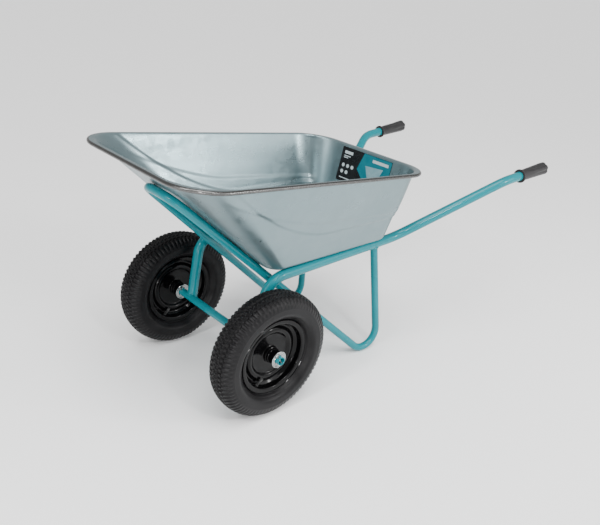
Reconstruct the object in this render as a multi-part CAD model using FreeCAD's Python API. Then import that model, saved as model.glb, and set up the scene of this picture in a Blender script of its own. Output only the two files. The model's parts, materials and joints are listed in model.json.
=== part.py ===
import FreeCAD, Part
import math
import os

# Two-wheeled wheelbarrow.  Millimetres, +Z up, +X towards the nose, +Y to the user's left.
# The origin is on the ground, under the middle of the barrow's overall length.

# ---- driving dimensions ----
overall_length = 1480.0
nose_overhang = 301.0            # axle to the front of the rolled rim
axle_x = overall_length / 2 - nose_overhang

tyre_diameter = 380.0
tyre_width = 92.0
tyre_wall = 6.0
tread_thickness = 10.0
track = 490.0                    # between the middle planes of the two wheels
axle_z = tyre_diameter / 2

rim_flange_radius = 115.0
rim_seat_radius = 101.6          # 8 inch bead seat
rim_width = 58.0
rim_sheet = 1.8
hub_radius = 21.0
hub_bore_radius = 17.0
hub_length = 80.0
bush_collar_radius = 21.0
bush_collar = 2.0
bush_length = 30.0
bush_clearance = 0.05            # running fit, on the radius
inner_tube_radius = 25.0
inner_tube_path_radius = 149.0
valve_angle = 28.0               # from straight down, towards the nose
valve_offset = 6.2               # from the wheel's middle plane
valve_base_radius = 5.5
valve_stem_radius = 4.0
valve_cap_radius = 4.6

axle_radius = 12.5
axle_wall = 2.0
axle_length = 600.0
washer_radius = 25.0
washer_thickness = 2.5
side_play = 0.3                  # hub to washer
pin_wire = 4.5
pin_hole = 5.0

handle_radius = 16.0
handle_wall = 1.5
handle_height = 380.0            # centre line of the level run under the tray
handle_front_y = 174.0
handle_rear_y = 159.0
strut_foot_y = 157.0             # where the handle tube meets the axle
strut_foot_setback = 7.0
front_bend_setback = 48.0
front_bend_radius = 64.0
rear_bend_setback = 604.0
rear_bend_radius = 148.0
grip_bend_setback = 947.0
grip_bend_radius = 120.0
grip_bend_y = 326.0
grip_bend_z = 569.0
grip_end_y = 335.0
grip_end_z = 583.0

loop_radius = 12.5
loop_wall = 1.5
leg_top_setback = 498.0
foot_setback = 541.0             # corner of the foot bend before rounding
foot_corner_y = 207.0
foot_bend_radius = 57.5
nose_reach = 209.0               # corner of the nose bend before rounding
nose_corner_y = 71.5
nose_corner_z = 635.5
nose_bend_radius = 54.0

cross_tube_radius = 10.0
cross_tube_wall = 1.5
cross_tube_setback = 440.0

grip_length = 148.0
grip_waist_radius = 18.8         # just behind the collar
grip_end_radius = 23.5
grip_collar_radius = 24.0
grip_collar = 6.0
grip_end_wall = 5.0
grip_end_round = 6.0

sheet = 1.0
rim_bead_radius = 4.5
rim_wire_radius = 3.0
rim_front = nose_overhang - rim_bead_radius
rim_rear = -613.5
rim_front_z = 728.5
rim_rear_z = 628.5
rim_front_half = 292.5
rim_rear_half = 263.5
rim_front_corner = 114.0
rim_rear_corner = 104.0
lip = 10.0                       # flat edge between the walls and the middle of the bead
wall_front_corner = 120.0
wall_rear_corner = 118.0
floor_z = handle_height + handle_radius
floor_rear = -550.0
floor_front_half = 176.0
floor_rear_half = 184.0
floor_front_corner = 44.0
floor_rear_corner = 55.0
floor_fillet = 18.0

label_width = 226.0
label_height = 118.0
label_thickness = 0.3
label_drop = 8.0                 # below the top of the rear wall

front_screw_radius = 3.0
front_screw_gap = 0.3
floor_screw_radius = 1.7
floor_screw_gap = 0.25
screw_reach = 8.0                # past the sheet, into the hollow tube
domed_head_radius = 7.0
domed_head_height = 3.5
domed_head_lift = 2.5            # the front wall leaves the loop this far at the screws
flat_head_radius = 2.7
flat_head_depth = 1.0
floor_screw_setback = 415.0
front_screw_reach = 120.0

MM = FreeCAD.Vector
UP = MM(0, 0, 1)
ACROSS = MM(0, 1, 0)
SIDES = (("left", 1), ("right", -1))


def save(name, shape):
    """Write one sub-part."""
    shape.exportStep("parts/" + name + ".step")


def cylinder(radius, length, base, direction):
    """Solid cylinder from its base centre."""
    return Part.makeCylinder(radius, length, base, direction)


def centred_cylinder(radius, length, centre, direction):
    """Solid cylinder about its middle."""
    unit = MM(direction).normalize()
    return cylinder(radius, length, centre - unit * (length / 2), unit)


def rounded_path(points, radii):
    """Straight runs joined by tangent arcs, one radius for each inner point."""
    edges = []
    start = points[0]
    for here, before, after, radius in zip(points[1:], points, points[2:], radii):
        back = (before - here).normalize()
        ahead = (after - here).normalize()
        half = back.getAngle(ahead) / 2
        run = radius / math.tan(half)
        middle = (back + ahead).normalize()
        near_side = here + middle * (radius / math.sin(half) - radius)
        edges.append(Part.LineSegment(start, here + back * run).toShape())
        edges.append(Part.Arc(here + back * run, near_side, here + ahead * run).toShape())
        start = here + ahead * run
    edges.append(Part.LineSegment(start, points[-1]).toShape())
    return Part.Wire(edges)


def sweep(path, radius):
    """Solid round bar along a path."""
    first = path.Edges[0]
    start = first.valueAt(first.FirstParameter)
    direction = first.tangentAt(first.FirstParameter)
    ring = Part.Wire(Part.makeCircle(radius, start, direction))
    return path.makePipeShell([ring], True, False)


def ring_of_revolution(profile, centre):
    """Turn a closed profile of (y, radius) points about the wheel's own axis."""
    corners = [centre + MM(0, y, radius) for y, radius in profile]
    face = Part.Face(Part.makePolygon(corners + corners[:1]))
    return face.revolve(centre, ACROSS, 360)


def curved_ring(outer, inner, centre):
    """Ring of revolution between two smooth curves of (y, radius) points."""
    over = Part.BSplineCurve()
    over.interpolate([centre + MM(0, y, radius) for y, radius in outer])
    under = Part.BSplineCurve()
    under.interpolate([centre + MM(0, y, radius) for y, radius in inner])
    edges = [over.toShape(), under.toShape()]
    joins = [(over.StartPoint, under.StartPoint), (over.EndPoint, under.EndPoint)]
    edges += [Part.LineSegment(a, b).toShape() for a, b in joins]
    face = Part.Face(Part.Wire(Part.__sortEdges__(edges)))
    return face.revolve(centre, ACROSS, 360)


def thickened(line, thickness):
    """Closed outline of a thin sheet whose middle line is given as (y, radius) points."""
    offsets = []
    last = len(line) - 1
    for i, (y, radius) in enumerate(line):
        y0, r0 = line[max(i - 1, 0)]
        y1, r1 = line[min(i + 1, last)]
        length = math.hypot(y1 - y0, r1 - r0)
        normal = ((r0 - r1) / length, (y1 - y0) / length)
        offsets.append((y, radius, normal[0] * thickness / 2, normal[1] * thickness / 2))
    over = [(y + dy, radius + dr) for y, radius, dy, dr in offsets]
    under = [(y - dy, radius - dr) for y, radius, dy, dr in offsets]
    return over + under[::-1]


# ---- frame ----
def handle_points(side):
    """Corner points of one handle tube, from the axle to the end of its grip."""
    return [
        MM(axle_x - strut_foot_setback, side * strut_foot_y, axle_z),
        MM(axle_x - front_bend_setback, side * handle_front_y, handle_height),
        MM(axle_x - rear_bend_setback, side * handle_rear_y, handle_height),
        MM(axle_x - grip_bend_setback, side * grip_bend_y, grip_bend_z),
        MM(-overall_length / 2, side * grip_end_y, grip_end_z),
    ]


def handle_direction(side):
    """Unit vector along a grip, towards its closed end."""
    points = handle_points(side)
    return (points[-1] - points[-2]).normalize()


def handle_solid(side, radius):
    """One handle tube as a solid bar, ending inside its grip."""
    points = handle_points(side)
    points[-1] = points[-1] - handle_direction(side) * grip_end_wall
    radii = [front_bend_radius, rear_bend_radius, grip_bend_radius]
    return sweep(rounded_path(points, radii), radius)


def handle_y(setback):
    """How far the level run of a handle tube stands from the middle plane."""
    part_way = (setback - front_bend_setback) / (rear_bend_setback - front_bend_setback)
    return handle_front_y + (handle_rear_y - handle_front_y) * part_way


def foot_corner_z():
    """Height of the foot's corner point that lets the rounded bend just touch the ground."""
    height = -foot_bend_radius
    for _ in range(30):
        leg = MM(foot_setback - leg_top_setback, handle_y(leg_top_setback) - foot_corner_y,
                 handle_height - height).normalize()
        arm = MM(nose_reach + foot_setback, nose_corner_y - foot_corner_y,
                 nose_corner_z - height).normalize()
        half = leg.getAngle(arm) / 2
        centre_rise = (leg + arm).normalize().z * foot_bend_radius / math.sin(half)
        reach_down = foot_bend_radius * math.sqrt(1 - leg.cross(arm).normalize().z ** 2)
        height = loop_radius + reach_down - centre_rise
    return height


def loop_points():
    """Corner points of the leg loop, from the left leg's top round the nose to the right's."""
    foot_z = foot_corner_z()
    half = [
        MM(axle_x - leg_top_setback, handle_y(leg_top_setback), handle_height),
        MM(axle_x - foot_setback, foot_corner_y, foot_z),
        MM(axle_x + nose_reach, nose_corner_y, nose_corner_z),
    ]
    return half + [MM(p.x, -p.y, p.z) for p in reversed(half)]


def loop_solid(radius):
    """The leg loop as a solid bar."""
    radii = [foot_bend_radius, nose_bend_radius, nose_bend_radius, foot_bend_radius]
    return sweep(rounded_path(loop_points(), radii), radius)


def loop_frame():
    """A point on the sloping plane of the loop's middle, and the plane's upward normal."""
    points = loop_points()
    along = points[2] - points[1]
    along.y = 0
    normal = MM(-along.z, 0, along.x).normalize()
    return MM(points[2].x, 0, points[2].z), normal


def build_frame(screw_cuts):
    """The painted tubes, welded to each other."""
    axle_bar = centred_cylinder(axle_radius, axle_length, MM(axle_x, 0, axle_z), ACROSS)
    axle_bore = centred_cylinder(axle_radius - axle_wall, axle_length + 2, MM(axle_x, 0, axle_z), ACROSS)
    pin_holes = [pin_cutter(y) for y in pin_positions()]
    save("axle_tube", axle_bar.cut([axle_bore] + pin_holes))

    bars = {name: handle_solid(side, handle_radius) for name, side in SIDES}
    for name, side in SIDES:
        bore = handle_solid(side, handle_radius - handle_wall)
        save("handle_tube_" + name, bars[name].cut([axle_bar, bore] + screw_cuts))

    both = list(bars.values())
    loop = loop_solid(loop_radius).cut([loop_solid(loop_radius - loop_wall)] + both + screw_cuts)
    save("leg_loop_tube", loop)

    y = handle_y(cross_tube_setback)
    middle = MM(axle_x - cross_tube_setback, 0, handle_height)
    cross = centred_cylinder(cross_tube_radius, 2 * y, middle, ACROSS)
    bore = centred_cylinder(cross_tube_radius - cross_tube_wall, 2 * y, middle, ACROSS)
    save("rear_cross_tube", cross.cut([bore] + both))


# ---- axle fittings ----
def hub_half():
    """Wheel's middle plane to the outer face of its bush collar."""
    return hub_length / 2 + bush_collar


def pin_positions():
    """Where the four split pins cross the axle."""
    reach = hub_half() + side_play + washer_thickness + pin_hole / 2 + 0.5
    return [side * track / 2 + end * reach for _, side in SIDES for end in (1, -1)]


def pin_axis():
    """The direction in which every split pin is pushed through the axle."""
    return MM(-0.514, 0, -0.857).normalize()


def pin_cutter(y):
    """Hole for one split pin."""
    return centred_cylinder(pin_hole / 2, 4 * axle_radius, MM(axle_x, y, axle_z), pin_axis())


def split_pin(y):
    """A split pin with its eye on top and its two legs bent apart below the axle."""
    centre = MM(axle_x, y, axle_z)
    down = pin_axis()
    sideways = down.cross(ACROSS).normalize()
    eye_radius = pin_wire * 0.9
    top = centre - down * (axle_radius + 1.0)
    bottom = centre + down * (axle_radius + pin_wire / 2 + 0.6)
    pin = cylinder(pin_wire / 2, (bottom - top).Length, top, down)
    eye = Part.makeTorus(eye_radius, pin_wire / 4, top - down * eye_radius, ACROSS)
    leg_length = 17.0
    legs = centred_cylinder(pin_wire / 2.4, 2 * leg_length, bottom, sideways)
    return pin.fuse([eye, legs])


def build_axle_fittings():
    """A washer and a split pin on each side of each wheel."""
    for name, side in SIDES:
        for place, end in (("outer", side), ("inner", -side)):
            face = side * track / 2 + end * (hub_half() + side_play)
            base = MM(axle_x, face, axle_z)
            direction = ACROSS * end
            disc = cylinder(washer_radius, washer_thickness, base, direction)
            hole = cylinder(axle_radius + 0.2, washer_thickness, base, direction)
            save("axle_washer_" + name + "_" + place, disc.cut(hole))
            pin_y = face + end * (washer_thickness + pin_hole / 2 + 0.5)
            save("split_pin_" + name + "_" + place, split_pin(pin_y))


# ---- wheels ----
def tyre_profiles():
    """Outside and inside of the tyre, as (y, radius) points from bead to bead."""
    crown = tyre_diameter / 2
    half = tyre_width / 2
    bead = rim_width / 2 - 4.8
    outer = [(bead, 110.0), (bead + 1.6, 117.2), (bead + 8.8, 122.5), (half - 2.0, 134.0), (half, 148.0),
             (half - 1.5, 163.0), (half - 8.0, 177.0), (half - 20.0, crown - 4.0), (0, crown)]
    inner = [(bead - tyre_wall, 110.0), (bead - 4.7, 118.5), (bead + 4.8, 126.0),
             (half - 2.0 - tyre_wall, 136.0), (half - tyre_wall, 148.0), (half - 1.5 - tyre_wall, 161.0),
             (half - 8.0 - tyre_wall, 171.5), (half - 20.0 - tyre_wall, crown - tread_thickness - 2.5),
             (0, crown - tread_thickness)]
    return [side + [(-y, radius) for y, radius in reversed(side[:-1])] for side in (outer, inner)]


def bead_profile(end):
    """Section of one solid bead, on the rim's seat against its flange."""
    outside = rim_width / 2 - 4.8
    foot = rim_seat_radius + 0.2
    points = [(outside - 1.7, foot), (outside, foot + 2.7), (outside, 112.0), (outside - tyre_wall, 112.0),
              (outside - 11.2, foot)]
    return [(end * y, radius) for y, radius in points]


def rim_half_line(end):
    """Middle line of one pressed rim half, from its flange lip to the hub."""
    half = rim_width / 2
    web = rim_sheet / 2
    line = [
        (half - 0.4, rim_flange_radius - 1.6), (half - 1.6, rim_flange_radius - 0.6),
        (half - 2.7, rim_flange_radius - 2.2), (half - 3.4, rim_seat_radius + 2.0),
        (half - 5.5, rim_seat_radius - rim_sheet / 2), (12.0, rim_seat_radius - rim_sheet / 2),
        (7.0, rim_seat_radius - 2.5), (web + 3.0, rim_seat_radius - 6.5), (web, 91.0),
        (web + 1.0, 86.0), (web + 6.5, 80.0), (web + 8.0, 74.0), (web + 6.5, 68.0),
        (web + 1.0, 62.0), (web, 58.0), (web, hub_radius),
    ]
    return [(end * y, radius) for y, radius in line]


def radial(angle):
    """Unit vector from the axle, as an angle from straight down towards the nose."""
    turn = math.radians(angle)
    return MM(math.sin(turn), 0, -math.cos(turn))


def build_wheel(name, y):
    """One pneumatic wheel.  Both wheels are alike, with the valve on the user's left."""
    centre = MM(axle_x, y, axle_z)
    outward = radial(valve_angle)
    stem_foot = centre + MM(0, valve_offset, 0) + outward * (rim_seat_radius + 3.0)
    stem_axis = MM(-outward.x, 0.35, -outward.z).normalize()
    stem_cut = centred_cylinder(valve_base_radius + 0.1, 24.0, stem_foot + stem_axis * 6.0, stem_axis)

    outer, inner = tyre_profiles()
    casing = curved_ring(outer, inner, centre)
    beads = [ring_of_revolution(bead_profile(end), centre) for end in (1, -1)]
    save("wheel_" + name + "_tyre", casing.fuse(beads))

    tube = Part.makeTorus(inner_tube_path_radius, inner_tube_radius, centre, ACROSS)
    tube_neck = cylinder(valve_base_radius, 30.0, stem_foot - stem_axis * 2.0, stem_axis * -1)
    save("wheel_" + name + "_inner_tube", tube.fuse(tube_neck))

    hub_bar = centred_cylinder(hub_radius, hub_length, centre, ACROSS)
    for part, end in (("valve_half", 1), ("plain_half", -1)):
        line = rim_half_line(end)
        half = ring_of_revolution(thickened(line, rim_sheet), centre).cut([hub_bar, stem_cut])
        save("wheel_" + name + "_rim_" + part, half)

    hub_bore = centred_cylinder(hub_bore_radius, hub_length + 2, centre, ACROSS)
    save("wheel_" + name + "_hub", hub_bar.cut(hub_bore))

    axle_hole = centred_cylinder(axle_radius + bush_clearance, 2 * hub_half() + 2, centre, ACROSS)
    for part, end in (("left", 1), ("right", -1)):
        face = centre + ACROSS * (end * hub_length / 2)
        sleeve = cylinder(hub_bore_radius, bush_length, face, -ACROSS * end)
        collar = cylinder(bush_collar_radius, bush_collar, face, ACROSS * end)
        save("wheel_" + name + "_bush_" + part, sleeve.fuse(collar).cut(axle_hole))

    stem_start = stem_foot - stem_axis * 2.0
    stem = cylinder(valve_base_radius, 11.0, stem_start, stem_axis)
    stem = stem.fuse(cylinder(valve_stem_radius, 26.0, stem_start, stem_axis))
    save("wheel_" + name + "_valve_stem", stem)
    cap = cylinder(valve_cap_radius, 9.0, stem_start + stem_axis * 26.0, stem_axis)
    save("wheel_" + name + "_valve_cap", cap)


# ---- tray ----
def outline(front, rear, front_half, rear_half, front_corner, rear_corner):
    """Flat four-sided wire with rounded corners, seen from above."""
    corners = [(front, front_half, front_corner), (rear, rear_half, rear_corner),
               (rear, -rear_half, rear_corner), (front, -front_half, front_corner)]
    points = [MM(x, y, 0) for x, y, _ in corners]
    arcs = []
    for i, (_, _, radius) in enumerate(corners):
        here = points[i]
        back = (points[i - 1] - here).normalize()
        ahead = (points[(i + 1) % 4] - here).normalize()
        half = back.getAngle(ahead) / 2
        run = radius / math.tan(half)
        middle = (back + ahead).normalize()
        arcs.append((here + back * run, here + middle * (radius / math.sin(half) - radius),
                     here + ahead * run))
    edges = []
    for i, (start, middle, end) in enumerate(arcs):
        edges.append(Part.Arc(start, middle, end).toShape())
        edges.append(Part.LineSegment(end, arcs[(i + 1) % 4][0]).toShape())
    return Part.Wire(edges)


def rim_line(inset, front_corner, rear_corner, rise=0.0):
    """A line round the tray's mouth, in the plane that tilts up towards the nose."""
    length = math.hypot(rim_front - rim_rear, rim_front_z - rim_rear_z)
    tilt = math.degrees(math.atan2(rim_front_z - rim_rear_z, rim_front - rim_rear))
    wire = outline(length - inset, inset, rim_front_half - inset, rim_rear_half - inset,
                   front_corner, rear_corner)
    wire.translate(MM(0, 0, rise))
    wire.rotate(MM(0, 0, 0), ACROSS, -tilt)
    wire.translate(MM(axle_x + rim_rear, 0, rim_rear_z))
    return wire


def wall_line(inset, rise):
    """The top of the walls' outer faces, pulled in by an inset."""
    return rim_line(lip + inset, wall_front_corner - inset, wall_rear_corner - inset, rise)


def front_wall_x(height, clearance):
    """Where the front wall, lying on the loop, stands at a given height."""
    point, normal = loop_frame()
    return point.x + (normal.z * (height - point.z) - loop_radius - clearance) / -normal.x


def floor_wire(inset, height):
    """The floor's outline."""
    front = front_wall_x(height, 0) - inset / abs(loop_frame()[1].x)
    wire = outline(front, axle_x + floor_rear + inset, floor_front_half - inset,
                   floor_rear_half - inset, floor_front_corner - inset, floor_rear_corner - inset)
    wire.translate(MM(0, 0, height))
    return wire


def tray_block(inset, bottom):
    """The tray as a solid block with a rounded bottom edge, pulled in by an inset."""
    block = Part.makeLoft([floor_wire(inset, bottom), wall_line(inset, rim_bead_radius)], True, True)
    rounded = [edge for edge in block.Edges if edge.BoundBox.ZMax < bottom + 0.01]
    return block.makeFillet(floor_fillet - inset, rounded)


def wire_sweep(path, radius):
    """Round bar along a closed path."""
    first = path.Edges[0]
    start = first.valueAt(first.FirstParameter)
    direction = first.tangentAt(first.FirstParameter)
    ring = Part.Wire(Part.makeCircle(radius, start, direction))
    return path.makePipeShell([ring], True, False)


def build_tray(screw_cuts):
    """The pressed tray with its flat lip and rolled bead, and the wire inside the roll."""
    walls = tray_block(0, floor_z).cut(tray_block(sheet, floor_z + sheet))
    under_lip = rim_bead_radius - sheet
    outside = Part.Face(rim_line(0, rim_front_corner, rim_rear_corner, under_lip))
    flat_ring = outside.cut(Part.Face(wall_line(sheet, under_lip)))
    thickness = flat_ring.Faces[0].normalAt(0, 0) * sheet
    if thickness.z < 0:
        thickness = thickness * -1
    flat_ring = flat_ring.extrude(thickness)
    path = rim_line(0, rim_front_corner, rim_rear_corner)
    bead = wire_sweep(path, rim_bead_radius)
    core = wire_sweep(path, rim_wire_radius)
    save("tray", walls.fuse([flat_ring, bead]).cut([core] + screw_cuts))
    save("rim_wire", core)


def rear_wall_frame():
    """Top middle of the rear wall's inner face, its downward direction and its normal."""
    top = MM(axle_x + rim_rear + lip, 0, rim_rear_z + rim_bead_radius)
    foot = MM(axle_x + floor_rear, 0, floor_z)
    down = (foot - top).normalize()
    inward = down.cross(ACROSS).normalize()
    if inward.x < 0:
        inward = inward * -1
    return top, down, inward


def build_label():
    """Plain printed label, stuck inside the rear wall just below the rim."""
    top, down, inward = rear_wall_frame()
    corner = top + inward * (sheet + 0.45) + down * label_drop - ACROSS * (label_width / 2)
    corners = [corner, corner + ACROSS * label_width,
               corner + ACROSS * label_width + down * label_height, corner + down * label_height]
    face = Part.Face(Part.makePolygon(corners + corners[:1]))
    save("tray_label", face.extrude(inward * label_thickness))


# ---- fasteners ----
def floor_screw_sites():
    """(top of the sheet, direction into the tube) for the screws through the floor."""
    x = axle_x - floor_screw_setback
    y = handle_y(floor_screw_setback)
    return [(MM(x, side * y, floor_z + sheet), UP * -1) for _, side in SIDES]


def front_screw_sites():
    """(top of the sheet, direction into the tube) for the screws through the front wall."""
    _, normal = loop_frame()
    foot, nose = loop_points()[1:3]
    part_way = (axle_x + front_screw_reach - foot.x) / (nose.x - foot.x)
    on_loop = foot + (nose - foot) * part_way
    middles = [MM(on_loop.x, side * on_loop.y, on_loop.z) for _, side in SIDES]
    return [(middle + normal * (loop_radius + sheet), normal * -1) for middle in middles]


def domed_head(top, into):
    """Round head standing on the sheet."""
    base = top - into * (domed_head_height + domed_head_lift)
    head = cylinder(domed_head_radius, domed_head_height, base, into)
    outer_edge = min(head.Edges, key=lambda e: (e.CenterOfMass - base).Length)
    return head.makeFillet(domed_head_height * 0.8, [outer_edge])


def flat_head(top, into, margin):
    """Countersunk head level with the sheet; a margin turns it into the seat that it needs."""
    top_radius = flat_head_radius + margin
    return Part.makeCone(top_radius, floor_screw_radius + margin, flat_head_depth, top, into)


def with_shank(head, radius, top, into):
    """A head with its shank, reaching into the tube."""
    head_middle = (top - head.BoundBox.Center).dot(into)
    length = head_middle + sheet + screw_reach
    return head.fuse(cylinder(radius, length, top - into * head_middle, into))


def screw_hole(radius, top, into):
    """Straight hole through the sheet and the near wall of the tube."""
    return cylinder(radius, screw_reach + 5.0, top - into * 3.0, into)


def build_screws():
    """The tray screws; returns the holes and seats that they need."""
    screws = []
    cuts = []
    for top, into in floor_screw_sites():
        screws.append(with_shank(flat_head(top, into, 0.0), floor_screw_radius, top, into))
        cuts.append(flat_head(top, into, floor_screw_gap))
        cuts.append(screw_hole(floor_screw_radius + floor_screw_gap, top, into))
    for top, into in front_screw_sites():
        screws.append(with_shank(domed_head(top, into), front_screw_radius, top, into))
        cuts.append(screw_hole(front_screw_radius + front_screw_gap, top, into))
    save("tray_screws", Part.makeCompound(screws))
    return cuts


# ---- grips ----
def build_grips():
    """Plastic sleeves with a collar at the open end, widening to a closed, rounded end."""
    for name, side in SIDES:
        end = handle_points(side)[-1]
        back = handle_direction(side) * -1
        body = Part.makeCone(grip_end_radius, grip_waist_radius, grip_length, end, back)
        tip = min(body.Edges, key=lambda e: (e.CenterOfMass - end).Length)
        body = body.makeFillet(grip_end_round, [tip])
        collar_base = end + back * (grip_length - grip_collar)
        collar = cylinder(grip_collar_radius, grip_collar, collar_base, back)
        bore = cylinder(handle_radius, grip_length, end + back * grip_end_wall, back)
        save("grip_" + name, body.fuse(collar).cut(bore))


def main():
    os.makedirs("parts", exist_ok=True)
    cuts = build_screws()
    build_frame(cuts)
    build_axle_fittings()
    for name, side in SIDES:
        build_wheel(name, side * track / 2)
    build_tray(cuts)
    build_label()
    build_grips()


main()
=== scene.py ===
import json
import math

import bmesh
import bpy
import numpy as np
from mathutils import Matrix, Vector


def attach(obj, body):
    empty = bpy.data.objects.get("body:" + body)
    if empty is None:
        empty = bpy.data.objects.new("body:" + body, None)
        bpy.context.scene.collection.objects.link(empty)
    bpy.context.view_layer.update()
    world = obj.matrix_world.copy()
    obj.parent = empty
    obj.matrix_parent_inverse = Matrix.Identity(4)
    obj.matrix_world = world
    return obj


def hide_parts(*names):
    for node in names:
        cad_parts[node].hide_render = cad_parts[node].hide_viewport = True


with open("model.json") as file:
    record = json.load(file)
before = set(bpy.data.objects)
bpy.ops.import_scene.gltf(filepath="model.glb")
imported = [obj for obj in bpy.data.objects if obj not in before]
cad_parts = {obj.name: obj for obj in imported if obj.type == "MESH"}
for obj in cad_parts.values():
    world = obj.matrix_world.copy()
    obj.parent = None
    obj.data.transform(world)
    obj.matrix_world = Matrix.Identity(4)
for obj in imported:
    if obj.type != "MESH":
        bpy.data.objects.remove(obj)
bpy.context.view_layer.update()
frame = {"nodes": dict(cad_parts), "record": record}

# ---------------------------------------------------------------- dimensions (metres, the CAD's frame)
AXLE_X, AXLE_Z = 0.439, 0.190
AXLE_RADIUS = 0.0125
TRACK = 0.490                                  # between the wheels' middle planes
WASHER_FACE = 0.0423                           # from a wheel's middle plane to a washer
HANDLE_RADIUS = 0.016
HANDLE_BENDS = [0.064, 0.148, 0.120]
STRUT_FOOT_X, STRUT_FOOT_Y = 0.432, 0.157
LEVEL_FRONT_X, LEVEL_REAR_X = 0.391, -0.165    # ends of the level run under the tray
LEVEL_FRONT_Y, LEVEL_REAR_Y = 0.174, 0.159
LEVEL_Z = 0.380
LEVEL_LENGTH = LEVEL_FRONT_X - LEVEL_REAR_X
UPPER_BEND, GRIP_END = (-0.508, 0.326, 0.569), (-0.740, 0.335, 0.583)
LOOP_RADIUS = 0.0125
LEG_TOP_X = -0.059
FOOT_X, FOOT_Y, FOOT_BEND = -0.102, 0.207, 0.0575
NOSE_X, NOSE_Y, NOSE_Z, NOSE_BEND = 0.648, 0.0715, 0.6355, 0.054
FLOOR_Z = 0.396
SHEET = 0.001
SIDES = (("left", 1), ("right", -1))
MM = 0.001


def v(*xyz):
    return np.array(xyz, float)


def unit(a):
    return a / np.linalg.norm(a)


# ---------------------------------------------------------------- mesh helpers
def add_mesh(name, verts, faces, material, body, slot, smooth=True):
    """A new piece that rides on a body and takes the given material; the slot is not used."""
    mesh = bpy.data.meshes.new(name)
    mesh.from_pydata([tuple(p) for p in verts], [], faces)
    mesh.validate()
    mesh.materials.append(material)
    obj = bpy.data.objects.new(name, mesh)
    bpy.context.scene.collection.objects.link(obj)
    if smooth:
        mesh.polygons.foreach_set("use_smooth", [True] * len(mesh.polygons))
    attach(obj, body)
    return obj


def auto_sharp(obj, degrees):
    """Keep the edges that turn by more than an angle crisp."""
    obj.data.set_sharp_from_angle(angle=math.radians(degrees))


def outward(obj):
    """Turn a closed mesh's faces to look outwards."""
    work = bmesh.new()
    work.from_mesh(obj.data)
    bmesh.ops.recalc_face_normals(work, faces=work.faces)
    work.to_mesh(obj.data)
    work.free()


def grid_faces(rows, cols, wrap_rows=False, wrap_cols=False, start=0, flip=False):
    """Four-sided faces over rows of samples."""
    faces = []
    for i in range(rows if wrap_rows else rows - 1):
        for j in range(cols if wrap_cols else cols - 1):
            a = start + i * cols + j
            b = start + i * cols + (j + 1) % cols
            c = start + ((i + 1) % rows) * cols + (j + 1) % cols
            d = start + ((i + 1) % rows) * cols + j
            faces.append((a, d, c, b) if flip else (a, b, c, d))
    return faces


LONGEST_STEP = 0.03
ARC_STEP = math.radians(5)


def straight_steps(a, b):
    """Points between a and b, no further apart than the longest step."""
    k = int(np.linalg.norm(b - a) / LONGEST_STEP)
    return [a + (b - a) * (i / (k + 1)) for i in range(1, k + 1)]


def corner_arc(before, corner, after, r, steps=None):
    """Samples of the arc of radius r that rounds a corner between two straight runs."""
    a, b = unit(before - corner), unit(after - corner)
    half = 0.5 * math.acos(np.clip(a @ b, -1, 1))
    run = r / math.tan(half)
    centre = corner + unit(a + b) * r / math.sin(half)
    start, end = corner + a * run, corner + b * run
    x = (start - centre) / r
    y = unit((end - centre) - ((end - centre) @ x) * x)
    turn = math.pi - 2 * half
    if steps is None:
        steps = max(4, int(turn / ARC_STEP))
    angles = [turn * k / steps for k in range(steps + 1)]
    return [centre + r * (math.cos(w) * x + math.sin(w) * y) for w in angles]


def rounded_path(points, radii):
    """Samples along straight runs whose corners are rounded to the radii."""
    out = [points[0]]
    for before, corner, after, r in zip(points, points[1:], points[2:], radii):
        arc = corner_arc(before, corner, after, r)
        out += straight_steps(out[-1], arc[0]) + arc
    out += straight_steps(out[-1], points[-1]) + [points[-1]]
    return np.array(out)


def frames(path, closed=False):
    """(tangent, side, up) at each sample of a path, turning as little as possible along it."""
    n = len(path)
    if closed:
        tangents = [unit(path[(i + 1) % n] - path[i - 1]) for i in range(n)]
    else:
        tangents = [unit(path[min(i + 1, n - 1)] - path[max(i - 1, 0)]) for i in range(n)]
    first = np.cross(tangents[0], v(0, 0, 1))
    if np.linalg.norm(first) < 0.1:
        first = np.cross(tangents[0], v(1, 0, 0))
    side = unit(first)
    out = []
    for t in tangents:
        side = unit(side - (side @ t) * t)
        out.append((t, side, np.cross(t, side)))
    return out


def bar(path, radius, segments=40, closed=False, radii=None):
    """Round bar along a path; radii give each sample its own radius."""
    verts = []
    for i, (p, (_, a, b)) in enumerate(zip(path, frames(path, closed))):
        r = radius if radii is None else radii[i]
        for k in range(segments):
            w = 2 * math.pi * k / segments
            verts.append(p + r * (math.cos(w) * a + math.sin(w) * b))
    faces = grid_faces(len(path), segments, wrap_rows=closed, wrap_cols=True)
    if not closed:
        faces.append(tuple(range(segments))[::-1])
        faces.append(tuple(range((len(path) - 1) * segments, len(path) * segments)))
    return verts, faces


def revolved(profile, segments):
    """A closed profile of (y, r) in millimetres, turned round the y axis."""
    verts = []
    for k in range(segments):
        w = 2 * math.pi * k / segments
        for y, r in profile:
            verts.append(v(r * MM * math.sin(w), y * MM, -r * MM * math.cos(w)))
    return np.array(verts), grid_faces(segments, len(profile), wrap_rows=True, wrap_cols=True)


def join(*parts):
    """Several (verts, faces) as one."""
    verts, faces = [], []
    for vs, fs in parts:
        base = len(verts)
        verts += list(vs)
        faces += [tuple(i + base for i in f) for f in fs]
    return verts, faces


# ---------------------------------------------------------------- materials
def new_material(name):
    """An empty material, its node tree and its shader."""
    m = bpy.data.materials.new(name)
    m.use_nodes = True
    nt = m.node_tree
    bsdf = nt.nodes["Principled BSDF"]
    return m, nt, bsdf


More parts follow.
